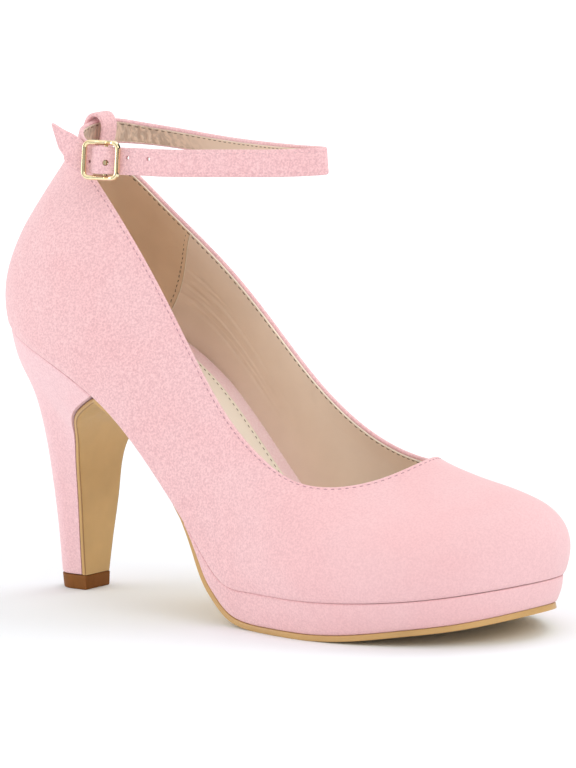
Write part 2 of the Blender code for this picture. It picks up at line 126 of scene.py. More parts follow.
def round_spline(rows, at):
    """The closed cubic spline through evenly spaced rows, at shares of one turn."""
    rows = np.asarray(rows, float)
    n = len(rows)
    m = 4 * np.eye(n) + np.roll(np.eye(n), 1, 0) + np.roll(np.eye(n), -1, 0)
    d = np.linalg.solve(m, 3 * (np.roll(rows, -1, 0) - np.roll(rows, 1, 0)))
    s = (np.asarray(at, float) % 1.0) * n
    i = np.floor(s).astype(int) % n
    f, j = (s - np.floor(s))[:, None], (i + 1) % n
    start = rows[i] * (1 + 2 * f) * (1 - f) ** 2 + d[i] * f * (1 - f) ** 2
    return start + rows[j] * f * f * (3 - 2 * f) + d[j] * f * f * (f - 1)


def unit(v):
    return v / np.linalg.norm(v, axis=-1, keepdims=True)


def lengths(path):
    """Distance along a path to each of its points."""
    return np.concatenate([[0], np.cumsum(np.linalg.norm(np.diff(path, axis=0), axis=1))])


def pick(key, values, at):
    """Values at these places, in straight lines between the ones at the keys."""
    return np.column_stack([np.interp(at, key, values[:, k]) for k in range(values.shape[1])])


def smooth(rows, count):
    """Points at even steps along the spline through the rows."""
    key = lengths(rows)
    return natural_spline(np.column_stack([key, rows]), np.linspace(0, key[-1], count))


def closed(path):
    return np.vstack([path, path[:1]])


def ease(t):
    t = np.clip(t, 0, 1)
    return t * t * (3 - 2 * t)


def bell(x, at, half):
    """1 at the middle, falling off softly over about twice half."""
    return np.exp(-(((x - at) / half) ** 2))


# The last


def feather_up(x):
    return natural_spline(FEATHER_UP, (np.asarray(x) + OVERHANG) / LENGTH)[:, 0] * SEAT


def feather(u):
    xy = round_spline(FEATHER, u) * (LENGTH, BALL)
    xy[:, 0] -= OVERHANG
    return xy


def outward(u):
    t = feather(u + 1e-4) - feather(u - 1e-4)
    return unit(np.column_stack([t[:, 1], -t[:, 0]]))


def outward_level(u):
    return np.column_stack([outward(u), np.zeros(len(u))])


TURN = np.arange(1440) / 1440
OUTLINE, OUTLINE_OUT = feather(TURN), outward(TURN)


def sides(inset, share, start=None):
    """(x, y outer, y inner) of the feather outline drawn in by inset, at shares of its length."""
    ring = OUTLINE - OUTLINE_OUT * inset
    back, toe = ring[:, 0].argmin(), ring[:, 0].argmax()
    ring, toe = np.roll(ring, -back, 0), (toe - back) % len(ring)
    near, far = ring[: toe + 1], np.vstack([ring[toe:], ring[:1]])[::-1]
    first = ring[0, 0] if start is None else start
    x = first + (ring[toe, 0] - first) * np.asarray(share)
    return x, np.interp(x, near[:, 0], near[:, 1]), np.interp(x, far[:, 0], far[:, 1])


def ribs(u, v):
    """Outer face of the upper: v, a row per level, runs from the feather line to the topline."""
    foot = feather(u)
    foot = np.column_stack([foot, feather_up(foot[:, 0])])
    top = round_spline(TOPLINE, u) * (LENGTH, BALL, BACK) - (OVERHANG, 0, 0)
    out = outward_level(u)
    swell, rise, lead, over, drop = round_spline(RIBS + RIBS[-2:0:-1], u).T[:, :, None]
    up = np.array([0, 0, 1.0])
    low = foot + out * swell * BALL + up * rise * BACK
    high = top + (foot - top) * (1, 1, 0) * lead + out * over * BALL - up * drop * BACK
    v = np.asarray(v)[..., None]
    return foot * (1 - v) ** 3 + 3 * low * v * (1 - v) ** 2 + 3 * high * v * v * (1 - v) + top * v**3


def wall(u, v):
    """Points of the outer face, the outward direction there and the direction up the rib."""
    e = 1e-3
    point = ribs(u, v)
    along = ribs(u + e, v) - ribs(u - e, v)
    up = ribs(u, np.clip(v + e, 0, 1)) - ribs(u, np.clip(v - e, 0, 1))
    return point, unit(np.cross(along, up)), unit(up)


def levels_below(u, below, rest):
    """v at these distances below the topline, then in even steps down to the feather line.

    With them come the distances below the topline and above the feather line.
    """
    fine = np.linspace(1, 0, 240)
    rib = ribs(u, fine[:, None])
    down = np.vstack([np.zeros(len(u)), np.cumsum(np.linalg.norm(np.diff(rib, axis=0), axis=2), 0)])
    v, depth = [], []
    for k in range(len(u)):
        d = np.concatenate([below, np.linspace(below[-1], down[-1, k], rest + 1)[1:]])
        v.append(np.interp(d, down[:, k], fine))
        depth.append(d)
    depth = np.array(depth).T
    return np.array(v).T, depth, down[-1] - depth


# Meshes


def put_in_scene(name, data):
    obj = bpy.data.objects.new(name, data)
    bpy.context.scene.collection.objects.link(obj)
    return obj


def closed_mesh(name, points, faces):
    """Mesh in metres of a closed surface in millimetres, its faces turned outward."""
    points = np.asarray(points, float)
    mesh = bpy.data.meshes.new(name)
    mesh.from_pydata((points * MM).tolist(), [], [list(map(int, f)) for f in faces])
    mesh.update()
    mesh.calc_loop_triangles()
    if np.linalg.det(points[[t.vertices[:] for t in mesh.loop_triangles]]).sum() < 0:
        mesh.flip_normals()
    return mesh


def mesh_of(name, points, faces, looks, look_of_face=None, replaced=(), slot=None):
    mesh = closed_mesh(name, points, faces)
    for look in looks:
        mesh.materials.append(look)
    if look_of_face is not None:
        mesh.polygons.foreach_set("material_index", np.asarray(look_of_face, np.int32))
    mesh.shade_smooth()
    mesh.set_sharp_from_angle(angle=SHARP)
    obj = put_in_scene(name, mesh)
    if replaced:
        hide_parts(*replaced)
    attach(obj, "root")
    return obj


def skin(grid, turn=False, ends=True):
    """Points and faces round a grid of closed rows.

    With turn the last row meets the first. Else ends closes the first and the last row,
    each straight across, from its first half to its second.
    """
    n, m = grid.shape[:2]
    i, j = np.meshgrid(np.arange(n if turn else n - 1), np.arange(m), indexing="ij")
    a, b = i * m + j, i * m + (j + 1) % m
    c, d = (i + 1) % n * m + (j + 1) % m, (i + 1) % n * m + j
    faces = np.stack([a, b, c, d], -1).reshape(-1, 4).tolist()
    if ends and not turn:
        j = np.arange(m // 2 - 1)
        cap = np.stack([j, m - 1 - j, m - 2 - j, j + 1], -1)
        faces += cap.tolist() + (cap[:, ::-1] + (n - 1) * m).tolist()
    return grid.reshape(-1, 3), faces


def stitches(name, path, normal, look, thick=0.34):
    """A row of thread on a surface: bowed stitches with both ends drawn into the leather."""
    key = lengths(path)
    count = max(1, int(key[-1] / STITCH_PITCH))
    mid = (np.arange(count) + 0.5) * key[-1] / count
    half = STITCH_PITCH * STITCH_SHARE / 2
    reach = np.linspace(-1, 1, 7)
    around = np.linspace(0, 2 * np.pi, 6, endpoint=False)
    # Along a stitch: its height over the surface, and its thickness, which shrinks at the ends.
    bow = thick * (0.34 * (1 - reach**2) - 0.16)
    fat = thick / 2 * np.sqrt(np.clip(1.05 - reach**4, 0.05, 1))
    points, faces = [], []
    for s in mid:
        at = np.clip(s + reach * half, 0, key[-1])
        line, n = pick(key, path, at), unit(pick(key, normal, at))
        t = unit(np.gradient(line, axis=0))
        across = unit(np.cross(n, t))
        line = line + n * bow[:, None]
        body = [line + (across * np.cos(a) + n * 0.8 * np.sin(a)) * fat[:, None] for a in around]
        p, f = skin(np.swapaxes(body, 0, 1))
        faces += [[k + len(points) * len(p) for k in face] for face in f]
        points.append(p)
    return mesh_of(name, np.vstack(points), faces, [look])


# Materials

SHADES, NAP, PORES = 45, 1450, 1100  # features per metre of leather's shades, suede's nap and pores


def feed(tree, socket, value):
    """Links a socket to another one, or gives it a value."""
    if isinstance(value, bpy.types.NodeSocket):
        tree.links.new(value, socket)
    else:
        socket.default_value = (*value, 1.0) if socket.type == "RGBA" else value


def fill(tree, node, **inputs):
    """Feeds the inputs of a node by their names, with _ for a blank."""
    for name, value in inputs.items():
        feed(tree, node.inputs[name.replace("_", " ")], value)
    return node


def add(tree, kind, **inputs):
    return fill(tree, tree.nodes.new(kind), **inputs)


def coordinate(tree, letter, kind="Object"):
    place = add(tree, "ShaderNodeTexCoord").outputs[kind]
    return add(tree, "ShaderNodeSeparateXYZ", Vector=place).outputs[letter]


def noise(tree, scale, detail, rough, stretch=None):
    """Noise in object space; scale is features per metre."""
    place = add(tree, "ShaderNodeTexCoord").outputs["Object"]
    if stretch:
        place = add(tree, "ShaderNodeMapping", Vector=place, Scale=stretch).outputs["Vector"]
    node = add(tree, "ShaderNodeTexNoise", Vector=place, Scale=scale, Detail=detail, Roughness=rough)
    return node.outputs["Fac"]


def spread(tree, value, low, high, to_low=0.0, to_high=1.0):
    """Takes values between low and high to values between to_low and to_high."""
    node = add(tree, "ShaderNodeMapRange", Value=value, From_Min=low, From_Max=high)
    return fill(tree, node, To_Min=to_low, To_Max=to_high).outputs["Result"]


def mix(tree, share, a, b, blend="MIX"):
    node = tree.nodes.new("ShaderNodeMix")
    node.data_type, node.blend_type = "RGBA", blend
    for name, value in (("Factor", share), ("A", a), ("B", b)):
        feed(tree, [s for s in node.inputs if s.name == name and s.enabled][0], value)
    return [s for s in node.outputs if s.enabled][0]


def calc(tree, operation, *values, kind="ShaderNodeMath"):
    node = tree.nodes.new(kind)
    node.operation = operation
    for socket, value in zip(node.inputs, values):
        feed(tree, socket, value)
    return node.outputs["Value"]


def product(tree, a, b):
    return calc(tree, "MULTIPLY", a, b)


def bump(tree, height, depth, under=None, strength=1.0):
    """Relief this many millimetres deep, over the relief under it."""
    node = add(tree, "ShaderNodeBump", Strength=strength, Distance=depth * MM, Height=height)
    if under:
        fill(tree, node, Normal=under)
    return node.outputs["Normal"]


def pored(tree, shader, depth, under=None):
    """Presses pores into the surface and gives their noise."""
    pores = noise(tree, PORES, 5, 0.6)
    fill(tree, shader, Normal=bump(tree, pores, depth, under))
    return pores


def scaled(colour, by):
    """A colour times a factor, or times one for each channel, at most 1."""
    return tuple(np.minimum(np.multiply(colour, by), 1.0).tolist())


def shaded(name, rough, metal=0.0, sheen=0.0, specular=0.5):
    mat = bpy.data.materials.new(name)
    mat.use_nodes = True
    tree = mat.node_tree
    shader = tree.nodes["Principled BSDF"]
    fill(tree, shader, Roughness=rough, Metallic=metal, Specular_IOR_Level=specular)
    fill(tree, shader, Sheen_Weight=sheen, Sheen_Roughness=0.55)
    return mat, tree, shader


def suede(name, colour, near, far):
    """Napped leather, its nap this strong at the near and the far end of the forefoot."""
    mat, tree, shader = shaded(name, 0.95, sheen=0.3, specular=0.1)
    strength = spread(tree, coordinate(tree, "X"), 0.09, 0.16, near, far)
    nap = noise(tree, NAP, 3, 0.6)
    patch = noise(tree, 42, 2, 0.5)
    dark, light = scaled(colour, (0.8, 0.7, 0.74)), scaled(colour, 1.1)
    base = mix(tree, spread(tree, nap, 0.36, 0.64), dark, light)
    base = mix(tree, strength, scaled(colour, (0.97, 0.93, 0.94)), base)
    brushed = mix(tree, spread(tree, patch, 0.38, 0.62), (1.0, 0.965, 0.965), (1.0, 1.0, 1.0))
    relief = bump(tree, nap, 0.22, strength=product(tree, strength, 0.8))
    fill(tree, shader, Base_Color=mix(tree, 1.0, base, brushed, "MULTIPLY"), Normal=relief)
    return mat


def leather(name, colour, rough, depth=0.05, variety=0.08):
    """Smooth leather with pores and soft changes of shade."""
    mat, tree, shader = shaded(name, rough, specular=0.35)
    shade = spread(tree, noise(tree, SHADES, 3, 0.55), 0.35, 0.65)
    tone = mix(tree, shade, scaled(colour, 1 - variety), scaled(colour, 1 + variety))
    gloss = spread(tree, pored(tree, shader, depth), 0.3, 0.7, rough - 0.06, rough + 0.08)
    fill(tree, shader, Base_Color=tone, Roughness=gloss)
    return mat


def gathered(name, colour):
    """The strap's lining, creased where it comes out of the back loop, with painted shade darkening the
    troughs of its creases.
    """
    mat, tree, shader = shaded(name, 0.5, specular=0.35)
    near_loop = spread(tree, coordinate(tree, "X"), 0.032, 0.05, 1.0, 0.0)
    folds = noise(tree, 620, 2, 0.5, stretch=(1, 1, 0.07))
    # painted shade: the troughs of the folds near the loop are coloured darker
    share = product(tree, near_loop, spread(tree, folds, 0.45, 0.57, 1.0, 0.0))
    fill(tree, shader, Base_Color=mix(tree, share, colour, scaled(colour, 0.74)))
    pored(tree, shader, 0.05, bump(tree, product(tree, near_loop, folds), 0.9))
    return mat


def lining(name, front, back):
    """Lining leather in two pieces: the front one overlaps the heel piece along a slanted line."""
    mat, tree, shader = shaded(name, 0.5, specular=0.35)
    way = calc(tree, "MULTIPLY_ADD", coordinate(tree, "Z"), -LINING_SLOPE, coordinate(tree, "X"))
    start = LINING_START * MM
    over = spread(tree, way, start - 0.1 * MM, start + 0.1 * MM)
    cut_edge = spread(tree, way, start + 0.5 * MM, start + 0.65 * MM, 1.0, 0.0)
    tone = mix(tree, over, back, front)
    tone = mix(tree, product(tree, over, cut_edge), tone, CREAM)
    shade = spread(tree, noise(tree, SHADES, 3, 0.55), 0.35, 0.65)
    soft = mix(tree, shade, (0.94, 0.93, 0.92), (1.0, 1.0, 1.0))
    fill(tree, shader, Base_Color=mix(tree, 1.0, tone, soft, "MULTIPLY"))
    pored(tree, shader, 0.05, bump(tree, over, 0.35))
    return mat


def thread(name, colour):
    mat, tree, shader = shaded(name, 0.7, sheen=0.2, specular=0.3)
    twist = noise(tree, 4000, 2, 0.5)
    tone = mix(tree, twist, scaled(colour, 0.75), colour)
    fill(tree, shader, Base_Color=tone, Normal=bump(tree, twist, 0.08))
    return mat


def gilt(name):
    mat, tree, shader = shaded(name, 0.13, metal=1.0)
    wear = noise(tree, 600, 4, 0.6)
    tone = mix(tree, spread(tree, wear, 0.35, 0.7), (0.96, 0.83, 0.54), (0.88, 0.70, 0.38))
    gloss = spread(tree, wear, 0.3, 0.7, 0.09, 0.2)
    fill(tree, shader, Base_Color=tone, Roughness=gloss, Normal=bump(tree, wear, 0.01))
    return mat


def rubber(name, colour):
    """The top lift: dense rubber with faint streaks from its cutting."""
    mat, tree, shader = shaded(name, 0.6, specular=0.2)
    streak = noise(tree, 500, 3, 0.6, stretch=(1, 1, 0.25))
    tone = mix(tree, spread(tree, streak, 0.3, 0.7), scaled(colour, 0.8), colour)
    fill(tree, shader, Base_Color=tone, Normal=bump(tree, streak, 0.04))
    return mat


LINING_SLOPE, LINING_START = 0.764, -53.9  # the overlap lies where x - slope * z = start, in mm
PINK = (0.85, 0.552, 0.556)
HEEL_PINK_PAINTED_LIGHT = (0.875, 0.59, 0.604)  # PINK made paler on the heel: painted light for the light from the left rear that falls on it
CREAM = (0.93, 0.84, 0.70)
pink_suede = suede("pink_suede", PINK, 0.72, 0.28)
strap_nap = suede("strap_nap", PINK, 0.8, 0.8)
heel_suede = suede("heel_suede", HEEL_PINK_PAINTED_LIGHT, 0.5, 0.5)
# the insole border is the same pink suede as the upper, painted much paler: painted light for the light
# that falls into the shoe
inside_suede_painted_light = suede("inside_suede_painted_light", (1.0, 0.79, 0.81), 0.3, 0.3)
lining_leather = lining("lining_leather", (0.875, 0.72, 0.59), (0.82, 0.62, 0.44))
strap_leather_painted_shade = gathered("strap_leather_painted_shade", (0.80, 0.62, 0.48))
cream_leather = leather("cream_leather", (0.97, 0.90, 0.78), 0.5, variety=0.02)
cream_edge = leather("cream_edge", CREAM, 0.6)
tan_leather = leather("tan_leather", (0.62, 0.40, 0.165), 0.42, depth=0.03)
tan_edge = leather("tan_edge", (0.56, 0.34, 0.13), 0.4, depth=0.03)
brown_line = leather("brown_line", (0.38, 0.21, 0.09), 0.5, depth=0.03)
brown_rubber = rubber("brown_rubber", (0.24, 0.085, 0.014))
pink_thread = thread("pink_thread", (0.56, 0.30, 0.34))
strap_thread = thread("strap_thread", (0.74, 0.45, 0.47))
brown_thread = thread("brown_thread", (0.17, 0.11, 0.07))
tan_thread = thread("tan_thread", (0.66, 0.50, 0.37))
gold = gilt("gold")


# Upper

BELOW = [0.53, 0.7, 0.9, 1.1, 1.3, 1.5, 1.7, 1.95, 2.3, 2.8, 3.6, 4.8, 6.5, 9.0, 12.0]  # rows near the top
AROUND = np.arange(480) / 480
RIM_STEPS = 7
LAYER_GAP = 0.02  # between the suede and its lining
LINING_DROP = 0.45  # top of the lining below the topline
TAPE = 9.0  # width of the stiffening tape inside the lining's edge
CREASES = (  # above the feather line, share round the shoe, half length in shares, depth
    (13.0, 0.826, 0.024, 0.5), (16.0, 0.834, 0.028, 0.6), (18.6, 0.822, 0.026, 0.5),
    (21.5, 0.836, 0.024, 0.45), (25.0, 0.820, 0.024, 0.5), (29.0, 0.838, 0.018, 0.35),
    (17.0, 0.170, 0.022, 0.5), (21.0, 0.182, 0.024, 0.5), (26.0, 0.168, 0.02, 0.35),
)


def rim(point, normal, up, thick):
    """Half a turn over the top edge, from the outer face of a layer to its inner one."""
    r = thick / 2
    middle = point - normal * r
    a = np.linspace(0, np.pi, RIM_STEPS + 2)[1:-1, None, None]
    return middle + normal * r * np.cos(a) + up * r * np.sin(a)


def seam(below):
    """Closed line on the outer face this far below the topline, with its outward directions."""
    levels, _, _ = levels_below(AROUND, [below], 1)
    line, normal, _ = wall(AROUND, levels[:1])
    return closed(line[0]), closed(normal[0])


def make_upper():
    v, below, above = levels_below(AROUND, BELOW, 40)
    point, normal, up = wall(AROUND, v)
    # The seam pulls the suede in, the foot of the wall is rounded, and the sides wave faintly.
    sag = -0.1 * bell(below, EDGE_SEAM, 0.35)
    edge = 0.35
    sag -= edge - np.sqrt(edge**2 - (edge - np.clip(above, 0, edge)) ** 2)
    turn = 2 * np.pi * AROUND
    sag += 0.06 * np.sin(9 * turn + 0.3 * above) * np.sin(0.11 * above) * ease(below / 6)
    outer = point + normal * sag[..., None]
    inner = point - normal * SUEDE
    flat = outward_level(AROUND)
    inner[-1] = point[-1] - flat * SUEDE
    over = rim(outer[0], normal[0], up[0], SUEDE)
    grid = np.swapaxes(np.vstack([outer[::-1], over, inner]), 0, 1)
    mesh_of("upper_suede", *skin(grid, turn=True), [pink_suede], replaced=["upper"], slot="upper_suede")
    line, n = seam(EDGE_SEAM)
    stitches("topline_stitches", line - n * SUNK, n, pink_thread)


def make_lining():
    below = [LINING_DROP + 0.34] + [b + LINING_DROP for b in BELOW[1:]]
    v, below, above = levels_below(AROUND, below, 76)
    point, normal, up = wall(AROUND, v)
    # Its face sinks in at the seam and below the tape, and the creases in it wander a little.
    dent = 0.12 * bell(below, EDGE_SEAM + LINING_DROP, 0.35)
    dent += 0.22 * ease((below - TAPE) / 3)
    for height, middle, half, depth in CREASES:
        wander = height + 1.4 * np.sin(60 * (AROUND - middle))
        dent += depth * bell(above, wander, 0.9) * bell(AROUND, middle, half)
    flat = outward_level(AROUND)
    outer = point - normal * (SUEDE + LAYER_GAP)
    inner = point - normal * (WALL - dent[..., None])
    outer[-1] = point[-1] - flat * (SUEDE + LAYER_GAP)
    inner[-1] = point[-1] - flat * WALL
    over = rim(outer[0], normal[0], up[0], WALL - SUEDE - LAYER_GAP)
    outer = np.vstack([outer[:12], outer[12:-1:5], outer[-1:]])  # fewer rows on the hidden face
    grid = np.swapaxes(np.vstack([outer[::-1], over, inner]), 0, 1)
    points, faces = skin(grid, turn=True)
    row = np.tile(np.arange(grid.shape[1]), len(AROUND))
    edge = (row >= len(outer) - 1) & (row < len(outer) + RIM_STEPS)
    looks = [lining_leather, cream_edge]
    mesh_of("upper_lining", points, faces, looks, edge.astype(int), slot="upper_suede")
    line, n = seam(EDGE_SEAM + LINING_DROP)
    stitches("lining_stitches", line - n * (WALL - 0.05), -n, brown_thread, thick=0.3)
    # Stitches close the overlap of the heel lining, on both sides of the shoe.
    for name, ends in (("inner", (0.80, 0.92)), ("outer", (0.20, 0.08))):
        shares = np.linspace(*ends, 200)
        levels = np.linspace(0.05, 0.95, 60)
        face, n, _ = wall(shares, levels[:, None] * np.ones(len(shares)))
        face = face - n * (WALL - 0.12)
        behind = face[..., 0] - LINING_SLOPE * face[..., 2] - LINING_START + 1.9
        at, rows = np.abs(behind).argmin(1), np.arange(len(levels))
        stitches(f"heel_lining_stitches_{name}", face[rows, at], -n[rows, at], brown_thread, thick=0.3)


# Insole

BORDER_INSET, PAD_INSET = 2.7, 8.4  # in from the feather line
PAD_SEAM = 1.7  # stitches in from the pad's edge
PAD_SEAM_ENDS = (-6, LENGTH - OVERHANG - 14)  # they run between these two places, x
BEND = (54, 104)  # where the sole bends from the shank to the forefoot, x


def stations(start, count, round_back=False):
    """Shares of the way from start to the toe, close at the round ends and in the sole's bend."""
    way = LENGTH - OVERHANG - start
    if round_back:
        share = (1 - np.cos(np.linspace(0.02, np.pi - 0.02, count))) / 2
    else:
        share = np.sin(np.linspace(0, np.pi / 2 - 0.004, count))
    x = start + way * share
    bend = np.linspace(max(start, BEND[0]), BEND[1], count // 2)
    rest = x[(x < bend[0] - 1) | (x > BEND[1] + 1)]
    return (np.sort(np.concatenate([rest, bend])) - start) / way


def footbed_sheet(name, inset, bottom, height, look, **said):
    """A sheet over the footbed, its underside this far above the feather line.

    height gives its top above the feather line by the distance in from its edge.
    """
    x, near, far = sides(inset, stations(-OVERHANG, 130, round_back=True))
    q = (1 - np.cos(np.linspace(0, np.pi, 48))) / 2
    y = near[:, None] + (far - near)[:, None] * q
    ring = OUTLINE - OUTLINE_OUT * inset
    flat = np.stack([np.broadcast_to(x[:, None], y.shape), y], -1)
    gap = np.array([np.linalg.norm(row[:, None] - ring, axis=2).min(1) for row in flat])
    gap[:, [0, -1]] = 0
    base = np.broadcast_to(feather_up(x)[:, None], y.shape)
    top = np.dstack([flat, base + height(gap)])
    under = np.dstack([flat, base + bottom])
    grid = np.concatenate([top, under[:, ::-1]], axis=1)
    return mesh_of(name, *skin(grid), [look], slot="insole_leather", **said)


def border_up(d):
    """Top of the border, with an edge rounded over 0.7 mm."""
    return 1.5 + 0.7 * np.sqrt(np.clip(1 - (1 - np.clip(d / 0.7, 0, 1)) ** 2, 0, 1))


def pad_up(d):
    """Top of the pad: its edge, the groove of its stitches and the soft middle."""
    return 2.25 + 0.75 * ease(d / 1.1) - 0.3 * bell(d, PAD_SEAM, 0.5) + 0.55 * ease((d - 2.0) / 9)


def make_insole():
    piece = footbed_sheet("insole_border", BORDER_INSET, 0.0, border_up, inside_suede_painted_light, replaced=["insole"])
    piece = footbed_sheet("insole_pad", PAD_INSET, 2.1, pad_up, cream_leather)
    ring = OUTLINE - OUTLINE_OUT * (PAD_INSET + PAD_SEAM)
    ring = ring[(OUTLINE[:, 0] > PAD_SEAM_ENDS[0]) & (OUTLINE[:, 0] < PAD_SEAM_ENDS[1])]
    cut = np.argmax(np.linalg.norm(np.diff(ring, axis=0), axis=1)) + 1
    for part, line in (("outer", ring[:cut]), ("inner", ring[cut:])):
        line = np.column_stack([line, feather_up(line[:, 0]) + pad_up(PAD_SEAM) + 0.02])
        up = np.tile([0.0, 0.0, 1.0], (len(line), 1))
        stitches(f"insole_stitches_{part}", line, up, brown_thread)


# Sole

TREAD_START = TREAD_UP[0][0] * LENGTH - OVERHANG
FOREFOOT_ROWS = 110
BREAST_ROWS = 50
BREAST_SHARE = 0.965  # width of the sheet over the breast, of the heel's


def offset(path, by):
    """Points of an x-z path moved by this much to its left."""
    t = unit(np.gradient(path, axis=0))
    return path + np.column_stack([-t[:, 1], t[:, 0]]) * by


def breast(share):
    """x-z path of the heel's front, from the lift up to the feather line."""
    row = natural_spline(HEEL, share)
    top = feather_up(HEEL[-1][2])[0] - GAP
    base = LIFT + GAP
    return np.column_stack([row[:, 1], base + np.asarray(share) * (top - base)])


def tread(x):
    z = natural_spline(TREAD_UP, (np.asarray(x) + OVERHANG) / LENGTH)[:, 0] * SEAT
    return np.maximum(z, 0)


def forefoot_path():
    x, outer, inner = sides(SOLE_INSET, stations(TREAD_START, FOREFOOT_ROWS), TREAD_START)
    return np.column_stack([x, tread(x)]), outer, inner


def outsole_paths():
    """x-z paths of the outsole's faces, from the foot of the breast to the toe, and its sides."""
    share = np.concatenate([np.linspace(0, 0.8, 34), np.linspace(0.81, 0.98, BREAST_ROWS - 34)])
    path = breast(share)
    half = natural_spline(HEEL, share)[:, 2] * BREAST_SHARE
    shank = np.linspace(HEEL[-1][2] + 1.2, TREAD_START - 2.5, 22)
    top = np.column_stack([shank, feather_up(shank) - GAP])
    _, near, far = sides(0.0, (shank + OVERHANG) / LENGTH)
    inset = np.interp(shank, [shank[0], 55, shank[-1]], [1.6, 5.0, 3.0])  # narrowest at the waist
    low, outer, inner = forefoot_path()
    upper = np.vstack([offset(path, -SEAM), top, offset(low, SOLE)])
    lower = np.vstack([offset(path, -GAP - FLAP), offset(top, -SOLE), low])
    near = np.concatenate([-half, near + inset, outer])
    far = np.concatenate([half, far - inset, inner])
    return lower, upper, near, far


def slab(lower, upper, outer, inner):
    """Rows round a sheet with rounded edges: under it from outer to inner side, and back over it."""
    radius = 0.35
    arc = np.linspace(0, np.pi / 2, 4)
    rows = []
    for a, b, p, q in zip(lower, upper, outer, inner):
        thick = max(np.linalg.norm(b - a), 1e-6)
        r = min(1.0, (q - p) / (4 * radius))
        left = [(p + radius * r * (1 - np.cos(s)), radius * r * (1 - np.sin(s)) / thick) for s in arc]
        flat = [(y, 0.0) for y in np.linspace(p + radius * r, q - radius * r, 20)[1:-1]]
        right = [(p + q - y, h) for y, h in left[::-1]]
        ring = left + flat + right
        ring += [(y, 1 - h) for y, h in ring[::-1]]
        rows.append([(a[0] + (b[0] - a[0]) * h, y, a[1] + (b[1] - a[1]) * h) for y, h in ring])
    return np.array(rows)


def make_outsole():
    grid = slab(*outsole_paths())
    points, faces = skin(grid)
    m = grid.shape[1]
    row = np.arange(len(faces)) % m
    half = m // 2
    look = np.zeros(len(faces), int)
    corner = (row < 3) | (row >= m - 4) | ((row >= half - 4) & (row < half + 3))
    look[corner] = np.where(np.arange(len(faces))[corner] < BREAST_ROWS * m, 2, 1)
    look[(row == m - 1) | (row == half - 1)] = 1
    look[(grid.shape[0] - 1) * m :] = 1
    looks = [tan_leather, tan_edge, brown_line]
    mesh_of("outsole_leather", points, faces, looks, look, replaced=["outsole"], slot="outsole_leather")


def make_platform():
    low, _, _ = forefoot_path()
    floor = offset(low, SOLE + SEAM)
    start = TREAD_START + 4.0
    share = stations(start, FOREFOOT_ROWS)
    # From the tread up to the feather line: how far in the wall stands, with its edges rounded off.
    mixes = np.array([0.0, 0.03, 0.08, 0.16, 0.28, 0.4, 0.52, 0.64, 0.76, 0.86, 0.93, 0.97, 1.0])
    insets = natural_spline([(0, SOLE_INSET), (0.5, 1.1), (1, COVER_INSET)], mixes)[:, 0]
    insets += np.interp(mixes, [0, 0.03, 0.08, 0.93, 0.97, 1.0], [0.6, 0.2, 0, 0, 0.08, 0.35])
    near, far = [], []
    for inset, level in zip(insets, mixes):
        x, outer, inner = sides(inset, share, start)
        bottom = np.interp(x, floor[:, 0], floor[:, 1])
        z = bottom + (feather_up(x) - SEAM - bottom) * level
        near.append(np.column_stack([x, outer, z]))
        far.append(np.column_stack([x, inner, z]))
    grid = np.swapaxes(near + far[::-1], 0, 1)
    mesh_of("platform_cover", *skin(grid), [pink_suede], replaced=["platform"], slot="platform_suede")


# Heel

FLANK = 0.42  # share of its depth from which the heel's section turns in to a round back
SEAT_START = 0.6  # share of the height from which the section widens to the seat
EDGE_RINGS = ((0, 0.35), (1, 0.12), (-3, 0.15), (-2, 0.55), (-1, 1.2))  # ring, drawn in
LIFT_ROWS = (  # up, drawn in
    (0, 0.75), (0.12, 0.5), (0.45, 0.34), (1.2, 0.26), (2.5, 0.16), (4.0, 0.05), (4.65, 0.0),
    (4.9, 0.12), (LIFT, 0.4),
)


def heel_ring(share, tau):
    """Ring of the heel at a share of its height; tau runs from the breast to the back."""
    back = (OUTLINE - OUTLINE_OUT * COVER_INSET)[:, 0].min()
    top_x = HEEL[-1][2] + (back - HEEL[-1][2]) * tau
    _, near, far = sides(COVER_INSET, (top_x - back) / (LENGTH - 2 * COVER_INSET))
    flat, bend = tau / FLANK, np.clip((tau - FLANK) / (1 - FLANK), 0, 1)
    shape = np.where(tau < FLANK, 0.97 + 0.03 * flat, np.sqrt(1 - bend**2))
    b, f, w = natural_spline(HEEL, [share])[0]
    k = ease((share - SEAT_START) / (1 - SEAT_START))
    x = f + (b - f) * tau
    up = LIFT + GAP + share * (feather_up(top_x) - SEAM - LIFT - GAP)
    width = HEEL[-1][3]
    halves = -w * ((1 - k) * shape - k * near / width), w * ((1 - k) * shape + k * far / width)
    near, far = (np.column_stack([x, y, up]) for y in halves)
    return np.vstack([near, far[-2::-1]])


def drawn_in(ring, by):
    middle = ring.mean(0)
    flat = unit((ring - middle) * (1, 1, 0))
    return ring - flat * by


def make_heel():
    tau = np.sin(np.linspace(0, np.pi / 2, 40))
    shares = np.concatenate([[0, 0.004, 0.012], np.linspace(0.03, 0.97, 60), [0.988, 0.996, 1.0]])
    rings = [heel_ring(s, tau) for s in shares]
    for at, by in EDGE_RINGS:
        rings[at] = drawn_in(rings[at], by)
    mesh_of("heel_cover", *skin(np.array(rings)), [heel_suede], replaced=["heel"], slot="heel_suede")
    ring = heel_ring(0, tau)
    ring[ring[:, 0] > HEEL[0][2] - 0.01, 0] += FLAP + GAP
    ring[:, 2] = 0
    rows = np.array([drawn_in(ring, by) + (0, 0, up) for up, by in LIFT_ROWS])
    mesh_of("top_lift_block", *skin(rows), [brown_rubber], replaced=["top_lift"], slot="lift_rubber")


# Strap, loop and buckle
# The buckle stands on the strap at BUCKLE. In its own axes s runs forward along the strap,
# n outward from the ankle and w across the strap.

